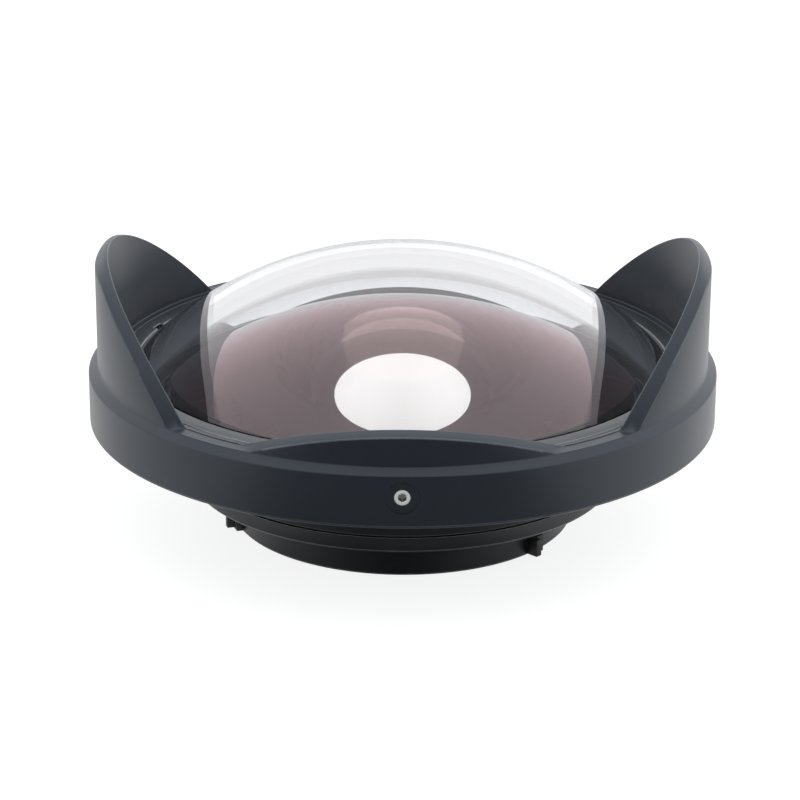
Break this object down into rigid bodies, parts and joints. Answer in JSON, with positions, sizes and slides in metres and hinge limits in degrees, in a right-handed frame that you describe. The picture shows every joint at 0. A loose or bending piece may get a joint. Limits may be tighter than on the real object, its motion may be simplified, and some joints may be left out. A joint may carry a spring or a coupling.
{
  "type": "fisheye conversion lens",
  "caption": "Wet-mount fisheye conversion lens with a glass dome, a turning petal hood held by set screws, and a rear bayonet barrel with claws.",
  "frame": {"origin": "centre of the rear face of the bayonet barrel, on the optical axis, the face the lens stands on", "axes": "+Z along the optical axis towards the dome, -Y towards the front set screw and the front short petal, +X towards a tall petal"},
  "size_m": [0.106, 0.106, 0.0472],
  "materials": {
    "barrel_black": "black anodised, satin",
    "ring_black": "black anodised with turning marks",
    "mount_black": "black anodised, satin",
    "claw_black": "moulded, matte",
    "hood_black": "moulded, fine matte texture",
    "insert_black": "blackened",
    "screw_steel": "bright stainless",
    "screw_black": "blackened",
    "rubber": "matte",
    "dome_glass": "polished, coated",
    "coated_glass": "polished, pink-brown coating"
  },
  "bodies": {
    "barrel": {"main_barrel": "barrel_black", "dome_lens": "dome_glass", "dome_seal": "rubber", "front_ring": "ring_black", "second_lens": "coated_glass", "second_ring": "barrel_black", "rear_cell": "barrel_black", "cell_seal": "rubber", "cell_ring": "barrel_black", "rear_lens_front": "coated_glass", "rear_lens_back": "coated_glass", "rear_seal": "rubber", "rear_ring": "ring_black", "mount_ring": "mount_black", "mount_gasket": "rubber", "mount_screws": "screw_black", "bayonet_claw_right": "claw_black", "bayonet_claw_back": "claw_black", "bayonet_claw_left": "claw_black", "claw_screws": "screw_black"},
    "hood": {"lens_hood": "hood_black", "screw_inserts": "insert_black"},
    "screw_front": {"hood_screw_front": "screw_steel"},
    "screw_right": {"hood_screw_right": "screw_steel"},
    "screw_left": {"hood_screw_left": "screw_steel"}
  },
  "joints": [
    {"name": "hood_turn", "type": "hinge", "parent": "barrel", "child": "hood", "pos_m": [0, 0, 0.02335], "axis": [0, 0, 1], "continuous": true},
    {"name": "front_screw_turn", "type": "hinge", "parent": "hood", "child": "screw_front", "pos_m": [0, -0.05, 0.02335], "axis": [0, -1, 0], "range_deg": [0, 720]},
    {"name": "right_screw_turn", "type": "hinge", "parent": "hood", "child": "screw_right", "pos_m": [0.0433, 0.025, 0.02335], "axis": [0.866, 0.5, 0], "range_deg": [0, 720]},
    {"name": "left_screw_turn", "type": "hinge", "parent": "hood", "child": "screw_left", "pos_m": [-0.0433, 0.025, 0.02335], "axis": [-0.866, 0.5, 0], "range_deg": [0, 720]}
  ]
}
